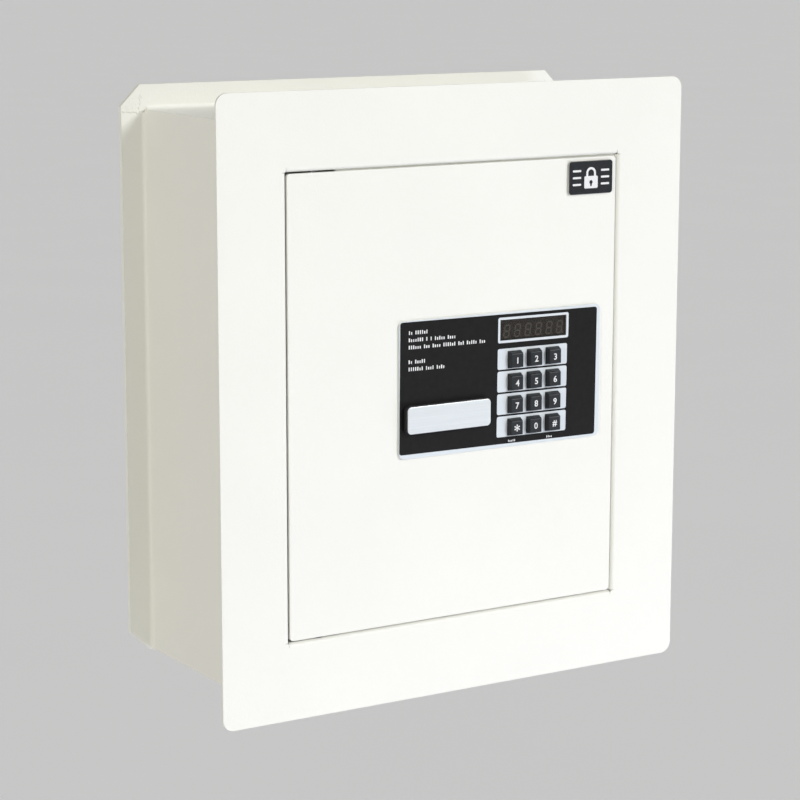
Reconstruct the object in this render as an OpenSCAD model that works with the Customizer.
// Built-in wall safe with a motor-driven electronic keypad lock.
// Origin: centre of the four anchor holes, on the outer face of the back plate.
// +X is to the right seen from the front, +Y goes into the wall, +Z is up.

/* [Wall flange] */
// Width of the front flange
flange_w = 390; // [384:1:420]
// Height of the front flange
flange_h = 443; // [436:1:480]
// Corner radius of the front flange
flange_r = 8.5; // [3:0.5:15]

/* [Body] */
// Outer width of the body behind the flange
body_w = 348; // [344:1:364]
// Outer height of the body behind the flange
body_h = 402; // [390:1:420]
// Depth of the body from the front flange to the rear flange
body_d = 150; // [120:1:220]
// Width of the rear anchoring flange
rear_flange_w = 18; // [12:0.5:26]
// Size of the 45 degree clips on the rear flange's corners
rear_clip = 15; // [8:0.5:18]
// Distance between the anchor holes, across
anchor_dx = 200; // [120:5:280]
// Distance between the anchor holes, up and down
anchor_dz = 240; // [120:5:320]
// Diameter of the anchor holes
anchor_hole_d = 10.5; // [8:0.5:14]
// Height of the shelf above the middle of the body
shelf_z = 0; // [-60:1:60]

/* [Door] */
// Width of the door opening
opening_w = 279; // [276:0.5:284]
// Height of the door opening
opening_h = 331.4; // [320:0.2:350]
// Middle of the opening, to the right of the flange's middle
opening_x = -2.4; // [-4:0.2:4]
// Middle of the opening, above the flange's middle
opening_z = 0.6; // [-4:0.2:4]
// Gap all round the door
door_gap = 1.2; // [1.1:0.1:1.6]
// Thickness of the door plate
door_t = 3; // [2.5:0.5:3]
// How far the door's face lies behind the flange's face
door_recess = 0.8; // [0.4:0.1:0.8]
// Corner radius of the door plate
door_r = 2.5; // [1:0.5:5]

/* [Bolts] */
// Diameter of the two live bolts
bolt_d = 14; // [10:1:14]
// Height of each bolt above and below the middle of the door
bolt_z = 95; // [90:1:98]
// Travel of the bolts
bolt_throw = 20; // [16:1:20]

/* [Lock panel] */
// Width of the silver panel
panel_w = 174.4; // [172:0.2:178]
// Height of the silver panel
panel_h = 99.4; // [98:0.2:104]
// Middle of the panel, to the right of the door's middle
panel_x = 37.9; // [35:0.1:39]
// Middle of the panel, above the door's middle
panel_z = 6.1; // [4:0.1:8]
// Tilt of the stuck-on label, clockwise, in degrees
label_tilt = 0.5; // [0:0.05:0.6]
// Distance between the keys, across
key_dx = 16.7; // [16:0.1:17]
// Distance between the keys, up and down
key_dz = 16.65; // [16.2:0.05:17]
// Travel of a key
key_travel = 1.2; // [0.6:0.1:1.2]

/* [Hidden] */
$fn = 48;
eps = 0.01;

// Sheet metal and depths, measured from the front face of the flange
sheet = 2;
overall_d = sheet + body_d + 2 * sheet;
rear_face_y = sheet + body_d;
body_bend_r = 5;

// Door frame: the opening's edges are rolled in over this outer radius
frame_bend_r = 3;
jamb_d = 14;
relief_r = 0.8;
corner_slit = 0.3;
weld_leg = 3;
stop_w = 8;
stop_t = 3;
keeper_t = 3;
keeper_w = 24;
keeper_h = 230;
keeper_d = 42;

// Door and its pivot axis
door_w = opening_w - 2 * door_gap;
door_h = opening_h - 2 * door_gap;
door_back_y = door_recess + door_t;
pivot_inset = 24;
pivot_x = -door_w / 2 + pivot_inset;
pivot_y = 7.8;
pin_r = 3;
pin_play = 0.06;
bush_r = 4.5;
pin_top_z = opening_h / 2 + 6;
pin_len = 44;

// Box on the back of the door
pan_x0 = -100;
pan_x1 = 124;
pan_h = 300;
pan_sheet = 1.5;
pan_lip = 10;
pan_back_y = 33;
cover_t = 1.2;
cover_screw_inset = 6;

// Bolt work: the carriage plate and the bolts share one depth
bolt_r = bolt_d / 2;
bolt_y = 23;
bolt_x0 = 72.5;
bolt_tip_x = 129;
bolt_play = 0.08;
upstand_t = 2.5;
bush_wall = 1.5;
bush_len = 5;
carriage_t = 3;
carriage_y = bolt_y - carriage_t / 2;
post_x = 62;
post_z = 66;
post_r = 3;

// Rack and pinion
gear_m = 0.75;
gear_teeth = 18;
gear_r = gear_m * gear_teeth / 2;
pressure_angle = 20;
gear_play = 0.12;
pinion_x = 0;
pinion_z = 62;
rack_teeth = 17;
rack_teeth_left = 13;

// Emergency lock
lock_x = -10;
lock_z = -15.1;
barrel_r = 8;
plug_r = 5;
plug_play = 0.06;
lever_r = 21.5;
lever_w = 8;
plug_back_y = carriage_y;
tail_w = 5;
tail_play = 0.04;

// Lock panel: every depth is measured from the front face of the flange
panel_t = 1.5;
panel_r = 4;
panel_y = door_recess - panel_t;
lock_rim_t = 1.8;
lock_front_y = panel_y - lock_rim_t;
label_t = 0.2;
label_y = panel_y - label_t;
label_w = 170.8;
label_h = 95.6;
label_dx = -1.5;
label_dz = 0.55;
bay_x = 65.7;
bay_z = 7.2;
bay_w = 70;
bay_h = 92;
bay_wall = 1.5;
stud_dx = 78;
stud_dz = 41;

// Display, in the label's own frame
display_dx = 28.9;
display_dz = 36.1;
display_w = 58.4;
display_h = 15.2;
display_rim = 2;

// Keys
KEYS = ["1", "2", "3", "4", "5", "6", "7", "8", "9", "star", "0", "hash"];
key_x0 = 65.8;
key_z0 = -4.25;
key_w = 11.6;
key_h = 12.4;
key_proud = 4;
key_lip = 1;
key_lip_y = door_recess + 0.4;
key_play = 0.2;
row_window_dx = 28.4;
row_window_dz = -10.1;
row_window_w = 61.5;
row_window_h = 15.4;

// Circuit board behind the panel
board_y = 6;
board_t = 1.6;
board_w = 64;
board_h = 86;
boss_dx = 29;
boss_dz = 25;

// Override cover in front of the emergency lock
plug_cover_w = 71.4;
plug_cover_h = 20.6;
plug_cover_proud = 4.2;
plug_face_t = 0.8;
prong_dx = 28;
prong_r = 1.5;

// Batteries, on the back of the door
cell_r = 7.1;
cell_len = 50;
cell_pitch = 15;
box_x = -55;
box_z = -108;
box_w = 64;
box_h = 58;
box_y = 12;
box_wall = 1.5;

// Code-reset button
reset_x = -62;
reset_z = 120;
reset_r = 3.6;

// Depth of the two cables' plane
cable_y = 14.5;
cable_r = 1.6;

// Colours
powder_coat = [0.93, 0.93, 0.90];
silver_panel = [0.84, 0.87, 0.91];
label_black = [0.14, 0.14, 0.14];
key_black = [0.17, 0.18, 0.20];
brushed = [0.80, 0.81, 0.82];
zinc = [0.70, 0.71, 0.72];
brass_yellow = [0.78, 0.64, 0.33];
nylon_white = [0.90, 0.89, 0.84];
board_green = [0.10, 0.36, 0.20];
felt_grey = [0.24, 0.25, 0.27];

// ---- Shared shapes ----

// Moves children from the flange's front face to the row's origin at the back plate
module from_front() {
    translate([0, -overall_d, 0]) children();
}

// The same for the door's pieces, which are drawn around the middle of the opening
module from_opening() {
    translate([opening_x, -overall_d, opening_z]) children();
}

// A flat piece: a 2D outline drawn in X and Z, from depth y0 over a thickness t
module slab(y0, t) {
    translate([0, y0 + t, 0])
        rotate([90, 0, 0])
            linear_extrude(t) children();
}

// Round bar along X, Y or Z, from its low end
module bar_x(p, length, r) {
    translate(p) rotate([0, 90, 0]) cylinder(h = length, r = r);
}

module bar_y(p, length, r) {
    translate(p) rotate([-90, 0, 0]) cylinder(h = length, r = r);
}

module bar_z(p, length, r) {
    translate(p) cylinder(h = length, r = r);
}

// Box from its low corner to its high corner
module box(low, high) {
    translate(low) cube(high - low);
}

// Rectangle with true round corners, centred
module rounded(w, h, r) {
    square([w - 2 * r, h], center = true);
    square([w, h - 2 * r], center = true);
    for (x = [-1, 1], z = [-1, 1])
        translate([x * (w / 2 - r), z * (h / 2 - r)]) circle(r);
}

// Children at the four corners of a centred rectangle
module at_corners(dx, dz) {
    for (x = [-dx, dx], z = [-dz, dz])
        translate([x, z]) children();
}

// Cut-out for an opening whose edges are bent: full size along the sides, a relief at each corner
module bent_cutout(w, h, bend_r) {
    square([w + 2 * bend_r, h], center = true);
    square([w, h + 2 * bend_r], center = true);
    at_corners(w / 2, h / 2) circle(relief_r);
}

// Section of a sheet bent through 90 degrees: a wall from y = 0 to y = -wall_len along x = 0,
// turned outwards into a leg that ends at x = leg_end
module bend_section(wall_len, leg_end) {
    translate([0, -wall_len]) square([sheet, wall_len - body_bend_r]);
    translate([body_bend_r, -sheet]) square([leg_end - body_bend_r, sheet]);
    intersection() {
        translate([0, -body_bend_r]) square(body_bend_r);
        translate([body_bend_r, -body_bend_r]) difference() {
            circle(body_bend_r);
            circle(body_bend_r - sheet);
        }
    }
}

// ---- Cabinet ----

// One rolled edge of the door opening, on the +X side, running along Z
module rolled_edge(half_opening, length) {
    translate([half_opening, 0, 0]) linear_extrude(length, center = true) {
        translate([0, frame_bend_r]) square([sheet, jamb_d - frame_bend_r]);
        intersection() {
            square(frame_bend_r);
            translate([frame_bend_r, frame_bend_r]) difference() {
                circle(frame_bend_r);
                circle(frame_bend_r - sheet);
            }
        }
    }
}

// One run of the fillet weld between the body and the flange, on the +X side, running along Z
module weld_run(half_width, length) {
    translate([half_width, sheet, 0]) linear_extrude(length, center = true)
        polygon([[0, 0], [weld_leg, 0], [0, weld_leg]]);
}

// Fillet weld all round the body, mitred at its corners; below, it also fills the floor's root gap
module body_weld() {
    box([-body_w / 2 + sheet, sheet, -body_h / 2],
        [body_w / 2 - sheet, sheet + weld_leg, -body_h / 2 + sheet]);
    for (side = [0, 180]) {
        rotate([0, side, 0]) weld_run(body_w / 2, body_h);
        rotate([0, side + 90, 0]) weld_run(body_h / 2, body_w);
        intersection() {
            rotate([0, side, 0]) weld_run(body_w / 2, body_h + 2 * weld_leg);
            for (turn = [-90, 90])
                rotate([0, turn, 0]) weld_run(body_h / 2, body_w + 2 * weld_leg);
        }
    }
}

// Flange with its rolled opening, and the weld that joins it to the body
module front_frame() {
    color(powder_coat) from_front() difference() {
        union() {
            slab(0, sheet) difference() {
                rounded(flange_w, flange_h, flange_r);
                translate([opening_x, opening_z]) bent_cutout(opening_w, opening_h, frame_bend_r);
            }
            translate([opening_x, 0, opening_z]) {
                for (side = [0, 180])
                    rotate([0, side, 0]) rolled_edge(opening_w / 2, opening_h - 2 * corner_slit);
                for (side = [-90, 90])
                    rotate([0, side, 0]) rolled_edge(opening_h / 2, opening_w - 2 * corner_slit);
            }
            body_weld();
        }
        // Holes for the pivot bushes
        translate([opening_x, 0, opening_z])
            bar_z([pivot_x, pivot_y, -opening_h / 2 - sheet - 1], opening_h + 2 * sheet + 2, bush_r);
    }
}

// Outline of the rear flange: no strip below the body, all four corners clipped
module rear_outline() {
    half_w = body_w / 2 + rear_flange_w;
    top = body_h / 2 + rear_flange_w;
    bottom = -body_h / 2;
    polygon([
        [-half_w + rear_clip, top], [half_w - rear_clip, top],
        [half_w, top - rear_clip], [half_w, bottom + rear_clip],
        [half_w - rear_clip, bottom], [-half_w + rear_clip, bottom],
        [-half_w, bottom + rear_clip], [-half_w, top - rear_clip]
    ]);
}

module body_wrap() {
    inner_w = body_w - 2 * sheet;
    inner_h = body_h - 2 * sheet;
    wall_len = body_d + sheet;
    leg = body_bend_r + eps;
    color(powder_coat) from_front() {
        // Rear flange, cut away up to the bends and open at the bottom
        slab(rear_face_y, sheet) difference() {
            rear_outline();
            bent_cutout(inner_w, inner_h, body_bend_r);
            translate([-inner_w / 2 - body_bend_r, -body_h]) square([inner_w + 2 * body_bend_r, body_h]);
        }
        // Side walls
        for (side = [0, 1])
            mirror([side, 0, 0])
                translate([inner_w / 2, rear_face_y + sheet, -body_h / 2])
                    linear_extrude(body_h - sheet) bend_section(wall_len, leg);
        // Top wall
        translate([-inner_w / 2, rear_face_y + sheet, inner_h / 2])
            rotate([90, 0, 90])
                linear_extrude(inner_w) rotate(90) mirror([0, 1]) bend_section(wall_len, leg);
        // The two edges where the top wall meets the sides
        for (side = [0, 1])
            mirror([side, 0, 0])
                box([inner_w / 2, sheet, inner_h / 2], [body_w / 2, rear_face_y - 1, body_h / 2]);
    }
}

// Floor sheet between the side walls; it stops short of the flange by the weld's root gap
module body_floor() {
    color(powder_coat) from_front()
        box([-body_w / 2 + sheet, sheet + weld_leg, -body_h / 2],
            [body_w / 2 - sheet, rear_face_y + sheet, -body_h / 2 + sheet]);
}

module back_plate() {
    color(powder_coat) from_front() slab(rear_face_y + sheet, sheet) difference() {
        rear_outline();
        at_corners(anchor_dx / 2, anchor_dz / 2) circle(d = anchor_hole_d);
    }
}

// Bar behind the door at the top, the bottom and the lock side; the hinge side swings inwards
module door_stop() {
    left = pan_x0 + 2;
    color(powder_coat) from_opening() slab(door_back_y + 0.5, stop_t) difference() {
        translate([left, -opening_h / 2]) square([opening_w / 2 - left, opening_h]);
        translate([left - 1, -opening_h / 2 + stop_w])
            square([opening_w / 2 - left + 1 - stop_w, opening_h - 2 * stop_w]);
    }
}

// Angle behind the lock-side jamb; its outer corner is chamfered to clear the rolled edge
module bolt_keeper() {
    x0 = opening_w / 2 + sheet;
    chamfer = 1.3;
    color(zinc) from_opening() difference() {
        translate([0, 0, -keeper_h / 2]) linear_extrude(keeper_h)
            polygon([
                [x0, sheet + chamfer], [x0 + chamfer, sheet],
                [x0 + keeper_w, sheet], [x0 + keeper_w, sheet + keeper_t],
                [x0 + keeper_t, sheet + keeper_t], [x0 + keeper_t, keeper_d],
                [x0, keeper_d]
            ]);
        for (z = [-bolt_z, bolt_z])
            bar_x([x0 - 1, bolt_y, z], keeper_t + 2, bolt_r + 0.75);
    }
}

module pivot_bushes() {
    flange_t = 0.6;
    color(label_black) from_opening() for (side = [0, 1]) mirror([0, 0, side])
        difference() {
            union() {
                bar_z([pivot_x, pivot_y, opening_h / 2], sheet + flange_t, bush_r);
                bar_z([pivot_x, pivot_y, opening_h / 2 - flange_t], flange_t, bush_r + 1);
            }
            bar_z([pivot_x, pivot_y, opening_h / 2 - 1], sheet + 3, pin_r + pin_play);
        }
}

module shelf_rails() {
    inner_x = body_w / 2 - sheet;
    rail_t = 1.5;
    rail = 12;
    color(powder_coat) from_front() for (side = [0, 1]) mirror([side, 0, 0])
        translate([0, body_d, shelf_z]) rotate([90, 0, 0]) linear_extrude(body_d - 52)
            polygon([
                [inner_x, 0], [inner_x - rail, 0], [inner_x - rail, -rail_t],
                [inner_x - rail_t, -rail_t], [inner_x - rail_t, -rail], [inner_x, -rail]
            ]);
}

// Loose shelf with a lip turned down at its front edge
module shelf() {
    half_w = body_w / 2 - sheet - 1.5;
    shelf_t = 1.2;
    lip = 10;
    color(powder_coat) from_front() {
        box([-half_w, 49, shelf_z], [half_w, body_d - 1, shelf_z + shelf_t]);
        box([-half_w, 49, shelf_z - lip], [half_w, 49 + shelf_t, shelf_z + shelf_t]);
    }
}

module floor_mat() {
    color(felt_grey) from_front()
        translate([0, 0, -body_h / 2 + sheet]) linear_extrude(3)
            translate([0, 8 + (body_d - 12) / 2]) rounded(body_w - 14, body_d - 12, 3);
}

// ---- Door ----

module door_plate() {
    color(powder_coat) from_opening() slab(door_recess, door_t) difference() {
        rounded(door_w, door_h, door_r);
        translate([bay_x, bay_z]) square([bay_w, bay_h], center = true);
        translate([lock_x, lock_z]) circle(barrel_r + 0.3);
        prong_holes(prong_r + 0.1);
        translate([panel_x, panel_z]) at_corners(stud_dx, stud_dz) circle(1.7);
    }
}

// The two holes that the override cover's prongs plug into
module prong_holes(r) {
    for (x = [-prong_dx, prong_dx])
        translate([lock_x + x, lock_z]) circle(r);
}

module pan_rect(inset) {
    translate([pan_x0 + inset, -pan_h / 2 + inset])
        square([pan_x1 - pan_x0 - 2 * inset, pan_h - 2 * inset]);
}

// The six screws that hold the back cover
module at_cover_screws() {
    for (x = [pan_x0 + cover_screw_inset, pan_x1 - cover_screw_inset], row = [-1 : 1])
        translate([x, row * (pan_h / 2 - cover_screw_inset)]) children();
}

module door_pan() {
    color(powder_coat) from_opening() difference() {
        union() {
            slab(door_back_y, pan_back_y - door_back_y) difference() {
                pan_rect(0);
                pan_rect(pan_sheet);
            }
            slab(pan_back_y - pan_sheet, pan_sheet) difference() {
                pan_rect(0);
                pan_rect(pan_sheet + pan_lip);
                at_cover_screws() circle(1.5);
            }
        }
        for (z = [-bolt_z, bolt_z])
            bar_x([pan_x1 - bush_len, bolt_y, z], 2 * bush_len, bolt_r + bush_wall + 0.02);
    }
}

// Blocks welded to the door's back, drilled for the pivot pins
module hinge_lugs() {
    color(zinc) from_opening() for (side = [0, 1]) mirror([0, 0, side])
        difference() {
            box([pivot_x - 7, door_back_y, pin_top_z - pin_len + 2],
                [pivot_x + 7, door_back_y + 9, pin_top_z - 16]);
            bar_z([pivot_x, pivot_y, 0], pin_top_z, pin_r + 0.02);
        }
}

module hinge_pins() {
    color(zinc) from_opening() for (side = [0, 1]) mirror([0, 0, side]) {
        bar_z([pivot_x, pivot_y, pin_top_z - pin_len], pin_len - 1, pin_r);
        translate([pivot_x, pivot_y, pin_top_z - 1]) cylinder(h = 1, r1 = pin_r, r2 = pin_r - 1);
    }
}

module back_cover() {
    color(powder_coat) from_opening() slab(pan_back_y, cover_t) difference() {
        pan_rect(0);
        at_cover_screws() circle(1.7);
        translate([box_x, box_z]) square([box_w - 2 * box_wall, box_h - 2 * box_wall], center = true);
        translate([reset_x, reset_z]) circle(reset_r + 0.6);
    }
}

module cover_screws() {
    head_y = pan_back_y + cover_t;
    head_t = 1.8;
    recess_t = 1.1;
    color(zinc) from_opening() {
        slab(head_y, head_t - recess_t) at_cover_screws() circle(3);
        slab(head_y + head_t - recess_t, recess_t) at_cover_screws() difference() {
            circle(3);
            cross_recess(3.2, 0.8);
        }
        slab(pan_back_y - 6, 6 + cover_t) at_cover_screws() circle(1.45);
    }
}

// Outline of a cross recess for a screwdriver
module cross_recess(w, blade) {
    square([w, blade], center = true);
    square([blade, w], center = true);
}

// ---- Lock panel ----

// Places a 2D shape drawn in the label's own frame, which is tilted a little
module on_label() {
    translate([panel_x + label_dx, panel_z + label_dz]) rotate(-label_tilt) children();
}

// Middle of key number i, across and up
function key_place(i) = [
    key_x0 + (i % 3 - 1) * key_dx,
    key_z0 + (1.5 - floor(i / 3)) * key_dz
];

module at_key(i) {
    translate(key_place(i)) children();
}

module display_hole(play) {
    on_label() translate([display_dx, display_dz])
        square([display_w + play, display_h + play], center = true);
}

// Moulded panel: front plate, tray that passes through the door, studs and board bosses
module panel_base() {
    color(silver_panel) from_opening() {
        slab(panel_y, panel_t) difference() {
            translate([panel_x, panel_z]) rounded(panel_w, panel_h, panel_r);
            for (i = [0 : len(KEYS) - 1])
                at_key(i) square([key_w + 2 * key_play, key_h + 2 * key_play], center = true);
            display_hole(0);
            translate([lock_x, lock_z]) circle(barrel_r + 0.3);
            prong_holes(prong_r + 0.1);
        }
        translate([bay_x, 0, bay_z]) {
            slab(door_recess, 10) difference() {
                square([bay_w - 0.6, bay_h - 0.6], center = true);
                square([bay_w - 0.6 - 2 * bay_wall, bay_h - 0.6 - 2 * bay_wall], center = true);
            }
            slab(door_recess, board_y - door_recess) at_corners(boss_dx, boss_dz)
                difference() {
                    circle(2.4);
                    circle(0.9);
                }
        }
        slab(door_recess, 7) translate([panel_x, panel_z]) at_corners(stud_dx, stud_dz) circle(1.45);
    }
}

module panel_label() {
    color(label_black) from_opening() slab(label_y, label_t) difference() {
        on_label() difference() {
            rounded(label_w, label_h, 2);
            translate([display_dx, display_dz])
                rounded(display_w + 2 * display_rim, display_h + 1.8 * display_rim, 1.6);
            for (row = [-1.5 : 1 : 1.5])
                translate([row_window_dx, row_window_dz + row * key_dz])
                    rounded(row_window_w, row_window_h, 1.5);
        }
        translate([lock_x, lock_z]) circle(barrel_r + 1);
        prong_holes(prong_r + 0.3);
    }
}

module panel_nuts() {
    color(zinc) from_opening() slab(door_back_y, 2.4)
        translate([panel_x, panel_z]) at_corners(stud_dx, stud_dz) difference() {
            circle(3.18, $fn = 6);
            circle(1.5);
        }
}

module display_window() {
    color([0.20, 0.18, 0.16, 0.9]) from_opening() slab(panel_y - 0.1, panel_t + 0.1) display_hole(-0.2);
}

module display_module() {
    color([0.12, 0.11, 0.10]) from_opening()
        slab(door_recess + 0.2, board_y - door_recess - 0.2)
            on_label() translate([display_dx, display_dz])
                square([display_w - 0.8, display_h - 1.2], center = true);
}

module keypad_board() {
    back_y = board_y + board_t;
    color(board_green) from_opening() {
        slab(board_y, board_t) translate([bay_x, bay_z]) difference() {
            square([board_w, board_h], center = true);
            at_corners(boss_dx, boss_dz) circle(1.2);
        }
        // Plugs for the motor and the batteries, controller chip and buzzer
        for (z = [40, -24])
            box([36, back_y, z - 4], [44, 17, z + 4]);
        box([58, back_y, 0], [78, back_y + 2.5, 8]);
        bar_y([82, back_y, 32], 5, 6);
    }
}

// Silicone sheet with one dome under each key, just clear of a pressed key
module key_mat() {
    sheet_t = 1;
    dome_h = board_y - sheet_t - (key_lip_y + key_lip + key_travel + 0.1);
    color([0.30, 0.31, 0.33]) from_opening() {
        slab(board_y - sheet_t, sheet_t)
            translate([key_x0, key_z0]) rounded(2 * key_dx + 14, 3 * key_dz + 13, 2);
        for (i = [0 : len(KEYS) - 1])
            slab(board_y - sheet_t - dome_h, dome_h) at_key(i) circle(4);
    }
}

module board_screws() {
    color(zinc) from_opening() translate([bay_x, 0, bay_z]) {
        slab(board_y + board_t, 1.3) at_corners(boss_dx, boss_dz) circle(1.9);
        slab(board_y - 4, 4 + board_t) at_corners(boss_dx, boss_dz) circle(0.87);
    }
}

module badge() {
    color([0.20, 0.21, 0.22]) from_opening() slab(door_recess - 1.8, 1.8)
        translate([115, 149.8]) rounded(39.2, 24.6, 2.5);
}

// Keycap number i of KEYS: a block tapered to its face, on a stem with a retaining lip
module keycap(i) {
    face_y = label_y - key_proud;
    place = key_place(i);
    color(key_black) from_opening() translate([place[0], 0, place[1]]) {
        intersection() {
            linear_extrude(key_h, center = true)
                polygon([
                    [-key_w / 2, label_y], [key_w / 2, label_y],
                    [key_w / 2 - 0.7, face_y], [-key_w / 2 + 0.7, face_y]
                ]);
            rotate([90, 0, 90]) linear_extrude(key_w, center = true)
                polygon([
                    [label_y, -key_h / 2], [label_y, key_h / 2],
                    [face_y, key_h / 2 - 1.5], [face_y, -key_h / 2 + 0.6]
                ]);
        }
        slab(label_y, key_lip_y - label_y) square([key_w, key_h], center = true);
        slab(key_lip_y, key_lip) square([key_w + 2 * key_lip, key_h + 1.6 * key_lip], center = true);
    }
}

// ---- Override cover and emergency lock ----

module override_cover() {
    front_y = label_y - plug_cover_proud;
    color(label_black) from_opening() translate([lock_x, 0, lock_z]) {
        slab(front_y, plug_cover_proud) difference() {
            rounded(plug_cover_w, plug_cover_h, 3.2);
            rounded(plug_cover_w - 2.4, plug_cover_h - 2.4, 2);
        }
        slab(front_y, 0.8) rounded(plug_cover_w - 2, plug_cover_h - 2, 2.2);
        for (x = [-prong_dx, prong_dx])
            bar_y([x, front_y, 0], plug_cover_proud + 6, prong_r);
    }
}

module override_cover_face() {
    color(brushed) from_opening() slab(label_y - plug_cover_proud - plug_face_t, plug_face_t)
        translate([lock_x, lock_z]) rounded(plug_cover_w - 1, plug_cover_h - 1, 3);
}

module lock_cylinder() {
    color(brass_yellow) from_opening() difference() {
        union() {
            bar_y([lock_x, lock_front_y, lock_z], lock_rim_t, barrel_r + 0.8);
            bar_y([lock_x, panel_y, lock_z], plug_back_y - 3 - panel_y, barrel_r);
        }
        bar_y([lock_x, lock_front_y - 1, lock_z], plug_back_y + 4, plug_r + plug_play);
    }
}

module lock_nut() {
    color(zinc) from_opening() difference() {
        slab(door_back_y, 4) translate([lock_x, lock_z]) circle(12, $fn = 6);
        bar_y([lock_x, door_back_y - 1, lock_z], 6, barrel_r + 0.02);
    }
}

// Turning plug with its keyway, and a square tail for the cam
module lock_plug() {
    color(brass_yellow) from_opening() translate([lock_x, 0, lock_z]) {
        difference() {
            bar_y([0, lock_front_y, 0], plug_back_y - lock_front_y, plug_r);
            box([-0.7, lock_front_y - 1, -3.5], [0.7, lock_front_y + 16, 3.2]);
        }
        slab(plug_back_y, 5.5) square(tail_w, center = true);
    }
}

// Lever that pulls the carriage back when the plug turns
module lock_cam() {
    color(zinc) from_opening() slab(carriage_y, carriage_t) translate([lock_x, lock_z]) difference() {
        union() {
            circle(lever_w * 0.68);
            translate([-lever_w / 2, 0]) square([lever_w, lever_r]);
            translate([0, lever_r]) circle(lever_w / 2);
        }
        square(tail_w + tail_play, center = true);
    }
}

module cam_nut() {
    color(zinc) from_opening() slab(carriage_y + carriage_t, 2)
        translate([lock_x, lock_z]) difference() {
            circle(5, $fn = 6);
            square(tail_w + tail_play, center = true);
        }
}

// ---- Bolt work ----

// Carriage: plate with guide slots, an upstand that carries the bolts, the rack arm and the cam arm
module bolt_carriage() {
    plate_x0 = 32;
    half_h = 108;
    arm_w = 8;
    rack_root_z = pinion_z + gear_r + 1.25 * gear_m;
    arm_top_z = rack_root_z + 8.3;
    // The lever pushes the tab's right edge, which rests just left of the swung lever
    tab_x0 = lock_x - lever_r - lever_w / 2 - 0.5 - arm_w;
    tab_z0 = lock_z - 5.6;
    cam_arm_z0 = lock_z + lever_r + lever_w / 2 + 1.9;
    upstand_x = bolt_x0 - upstand_t;
    color(zinc) from_opening() {
        slab(carriage_y, carriage_t) difference() {
            union() {
                translate([plate_x0, -half_h]) square([upstand_x - plate_x0, 2 * half_h]);
                translate([-32, rack_root_z]) square([plate_x0 + 33, arm_top_z - rack_root_z]);
                translate([tab_x0, cam_arm_z0]) square([plate_x0 + 1 - tab_x0, arm_w]);
                translate([tab_x0, tab_z0]) square([arm_w, cam_arm_z0 + arm_w - tab_z0]);
            }
            for (z = [-post_z, post_z]) guide_slot(z);
            // Room for the heads of the bolt screws
            for (z = [-bolt_z, bolt_z])
                translate([bolt_x0 - 10, z - 8]) square([8, 16]);
        }
        difference() {
            box([upstand_x, bolt_y - 8, -half_h], [bolt_x0, bolt_y + 8, half_h]);
            for (z = [-bolt_z, bolt_z])
                bar_x([bolt_x0 - 5, bolt_y, z], 8, 3.3);
        }
        rack(rack_root_z);
    }
}

// Slot for a guide post, as long as the bolts' travel
module guide_slot(z) {
    slot_r = post_r + 0.1;
    translate([post_x - bolt_throw, z]) circle(slot_r);
    translate([post_x, z]) circle(slot_r);
    translate([post_x - bolt_throw, z - slot_r]) square([bolt_throw, 2 * slot_r]);
}

// Straight teeth pointing down from the arm; a gap is centred over the pinion
module rack(root_z) {
    pitch = PI * gear_m;
    tip_half = pitch / 4 - gear_m * tan(pressure_angle) - gear_play / 2;
    root_half = pitch / 4 + 1.25 * gear_m * tan(pressure_angle) - gear_play / 2;
    depth = 2.25 * gear_m;
    slab(carriage_y, carriage_t)
        for (i = [0 : rack_teeth - 1])
            translate([pinion_x + pitch * (i + 0.5 - rack_teeth_left), root_z])
                polygon([
                    [-root_half, 0.1], [-root_half, 0], [-tip_half, -depth],
                    [tip_half, -depth], [root_half, 0], [root_half, 0.1]
                ]);
}

module live_bolts() {
    chamfer = 1;
    color(zinc) from_opening() for (z = [-bolt_z, bolt_z]) difference() {
        union() {
            bar_x([bolt_x0, bolt_y, z], bolt_tip_x - chamfer - bolt_x0, bolt_r);
            translate([bolt_tip_x - chamfer, bolt_y, z]) rotate([0, 90, 0])
                cylinder(h = chamfer, r1 = bolt_r, r2 = bolt_r - chamfer);
        }
        bar_x([bolt_x0 - 1, bolt_y, z], 15, 3);
    }
}

module bolt_screws() {
    shank_x = bolt_x0 - upstand_t;
    color(zinc) from_opening() for (z = [-bolt_z, bolt_z]) {
        bar_x([shank_x, bolt_y, z], 14, 2.95);
        translate([shank_x - 4, bolt_y, z]) rotate([0, 90, 0]) cylinder(h = 4, r = 5.77, $fn = 6);
    }
}

module bolt_bushes() {
    color(nylon_white) from_opening() for (z = [-bolt_z, bolt_z]) difference() {
        union() {
            bar_x([pan_x1 - bush_len, bolt_y, z], bush_len, bolt_r + bush_wall);
            bar_x([pan_x1, bolt_y, z], 2, bolt_r + bush_wall + 1.5);
        }
        bar_x([pan_x1 - bush_len - 1, bolt_y, z], bush_len + 4, bolt_r + bolt_play);
    }
}

// Shouldered posts on the door's back that carry the carriage
module guide_posts() {
    shoulder_len = carriage_y - 0.3 - door_back_y;
    head_y = carriage_y + carriage_t + 0.3;
    color(zinc) from_opening() for (z = [-post_z, post_z]) {
        bar_y([post_x, door_back_y, z], shoulder_len, post_r + 1.5);
        bar_y([post_x, door_back_y, z], head_y - door_back_y, post_r);
        bar_y([post_x, head_y, z], 2, post_r + 1.5);
    }
}

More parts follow.
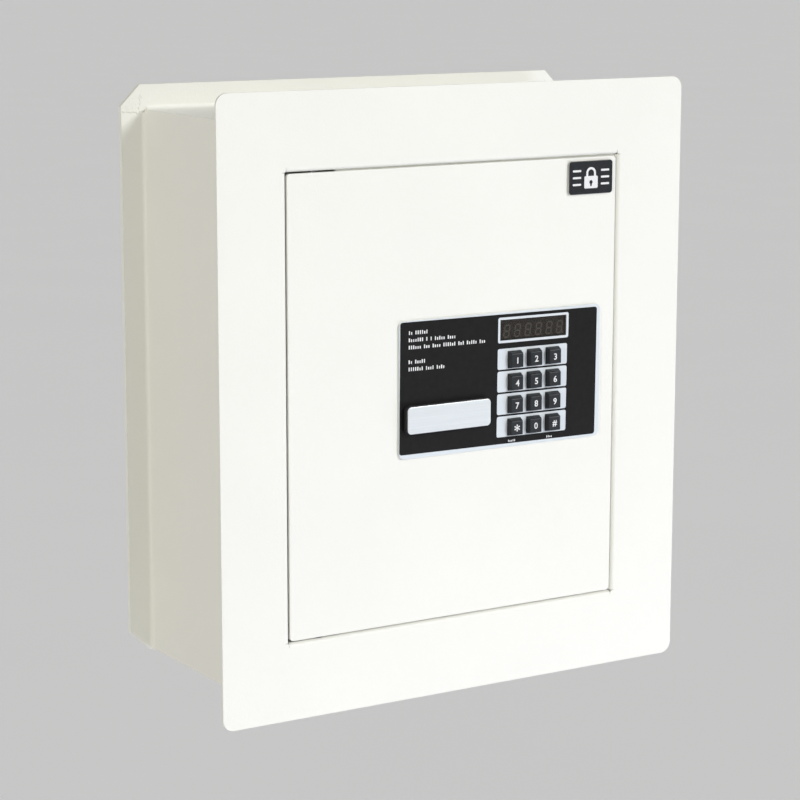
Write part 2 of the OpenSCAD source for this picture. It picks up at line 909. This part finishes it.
// Gearbox flat on the door's back with the motor lying beside it
module gear_motor() {
    case_back_y = 17;
    can_y = 12;
    can_z = pinion_z - 6;
    color([0.45, 0.46, 0.48]) from_opening() {
        difference() {
            box([-18, door_back_y, pinion_z - 16], [18, case_back_y, pinion_z + 14]);
            bar_y([pinion_x, 8, pinion_z], 12, 2.5);
            for (x = [-14, 14])
                bar_y([x, door_back_y - 1, pinion_z - 12], 20, 1.6);
        }
        bar_x([-46, can_y, can_z], 28, 7.5);
        bar_x([-48, can_y, can_z], 2, 3);
    }
}

module motor_screws() {
    color(zinc) from_opening() for (x = [-14, 14]) {
        bar_y([x, door_back_y, pinion_z - 12], 17 - door_back_y, 1.5);
        bar_y([x, 17, pinion_z - 12], 1.8, 3);
    }
}

// A point on the involute of the base circle, turned by start, at roll angle t (degrees)
function involute(base_r, start, t) = [
    base_r * (cos(start + t) + t * PI / 180 * sin(start + t)),
    base_r * (sin(start + t) - t * PI / 180 * cos(start + t))
];

// One tooth as a polygon, symmetric about angle 0
module gear_tooth(steps = 5) {
    base_r = gear_r * cos(pressure_angle);
    tip_r = gear_r + gear_m;
    root_r = gear_r - 1.25 * gear_m;
    tip_roll = sqrt(pow(tip_r / base_r, 2) - 1) * 180 / PI;
    // Half the angle that the tooth covers at its base circle
    inv_angle = tan(pressure_angle) * 180 / PI - pressure_angle;
    play_angle = gear_play / (2 * gear_r) * 180 / PI;
    half_base = 90 / gear_teeth + inv_angle - play_angle;
    lower = [for (i = [0 : steps]) involute(base_r, -half_base, tip_roll * i / steps)];
    upper = [for (i = [steps : -1 : 0]) [lower[i][0], -lower[i][1]]];
    root = root_r - 0.3;
    polygon(concat(
        [[root * cos(half_base), -root * sin(half_base)]],
        lower,
        upper,
        [[root * cos(half_base), root * sin(half_base)]]
    ));
}

module motor_pinion() {
    gear_y = carriage_y - 1;
    color(brass_yellow) from_opening() {
        slab(gear_y, carriage_t + 2) translate([pinion_x, pinion_z]) {
            circle(gear_r - 1.25 * gear_m);
            // A tooth points straight up into the rack's gap
            for (i = [0 : gear_teeth - 1])
                rotate(90 + i * 360 / gear_teeth) gear_tooth();
        }
        bar_y([pinion_x, 10, pinion_z], gear_y - 10, 2.45);
    }
}

// ---- Power and reset ----

module battery_box() {
    color([0.13, 0.13, 0.14]) from_opening() translate([box_x, 0, box_z]) difference() {
        slab(box_y, pan_back_y - box_y) square([box_w, box_h], center = true);
        slab(box_y + box_wall, pan_back_y - box_y)
            square([box_w - 2 * box_wall, box_h - 2 * box_wall], center = true);
    }
}

module batteries() {
    cell_y = box_y + box_wall + cell_r + 0.2;
    color([0.75, 0.62, 0.25]) from_opening() for (i = [-1.5 : 1 : 1.5])
        translate([box_x + i * cell_pitch, cell_y, box_z]) {
            bar_z([0, 0, -cell_len / 2], cell_len - 1, cell_r);
            bar_z([0, 0, cell_len / 2 - 1], 1, 2.7);
        }
}

// Lid in the back cover's window, with a finger ridge
module battery_lid() {
    color([0.13, 0.13, 0.14]) from_opening() translate([box_x, 0, box_z]) {
        slab(pan_back_y - 1, cover_t + 1.4)
            square([box_w - 2 * box_wall - 0.6, box_h - 2 * box_wall - 0.6], center = true);
        slab(pan_back_y + cover_t + 0.4, 1.6) square([24, 3], center = true);
    }
}

module reset_switch() {
    color([0.13, 0.13, 0.14]) from_opening() difference() {
        slab(18, pan_back_y - 18) translate([reset_x, reset_z]) square(13, center = true);
        bar_y([reset_x, 23, reset_z], 12, reset_r + 0.08);
    }
}

module reset_button() {
    color([0.75, 0.08, 0.07]) from_opening() bar_y([reset_x, 25, reset_z], 11, reset_r);
}

// Round cable in the plane y = cable_y through points given in X and Z, with bends of radius bend
module cable(points, bend = 5) {
    last = len(points) - 1;
    for (i = [0 : last - 1]) {
        leg = points[i + 1] - points[i];
        way = leg / norm(leg);
        start = points[i] + (i == 0 ? 0 : bend) * way;
        end = points[i + 1] - (i == last - 1 ? 0 : bend) * way;
        translate([start[0], cable_y, start[1]])
            rotate([0, 90 - atan2(way[1], way[0]), 0])
                cylinder(h = norm(end - start), r = cable_r);
    }
    for (i = [1 : last - 1]) {
        arrive = (points[i] - points[i - 1]) / norm(points[i] - points[i - 1]);
        leave = (points[i + 1] - points[i]) / norm(points[i + 1] - points[i]);
        centre = points[i] + bend * (leave - arrive);
        // The bend starts opposite the leaving direction and sweeps a quarter turn
        from_angle = atan2(-leave[1], -leave[0]);
        left_turn = arrive[0] * leave[1] - arrive[1] * leave[0] > 0;
        translate([centre[0], cable_y, centre[1]])
            rotate([90, 0, 0]) rotate(left_turn ? from_angle : from_angle - 90)
                rotate_extrude(angle = 90) translate([bend, 0]) circle(cable_r);
    }
}

module motor_cable() {
    color([0.70, 0.12, 0.10]) from_opening()
        cable([[36, 40], [-60, 40], [-60, pinion_z - 6], [-48, pinion_z - 6]]);
}

module battery_cable() {
    color([0.15, 0.15, 0.16]) from_opening()
        cable([[box_x, box_z + box_h / 2], [box_x, -52], [20, -52], [20, -24], [36, -24]]);
}

// ---- Assembly ----

front_frame();
body_wrap();
body_floor();
back_plate();
door_stop();
bolt_keeper();
pivot_bushes();
shelf_rails();
shelf();
floor_mat();
door_plate();
door_pan();
hinge_lugs();
hinge_pins();
back_cover();
cover_screws();
panel_base();
panel_label();
panel_nuts();
display_window();
display_module();
keypad_board();
key_mat();
board_screws();
badge();
override_cover();
override_cover_face();
lock_cylinder();
lock_nut();
lock_plug();
lock_cam();
cam_nut();
bolt_carriage();
live_bolts();
bolt_screws();
bolt_bushes();
guide_posts();
gear_motor();
motor_screws();
motor_pinion();
battery_box();
batteries();
battery_lid();
reset_switch();
reset_button();
motor_cable();
battery_cable();
for (i = [0 : len(KEYS) - 1])
    keycap(i);
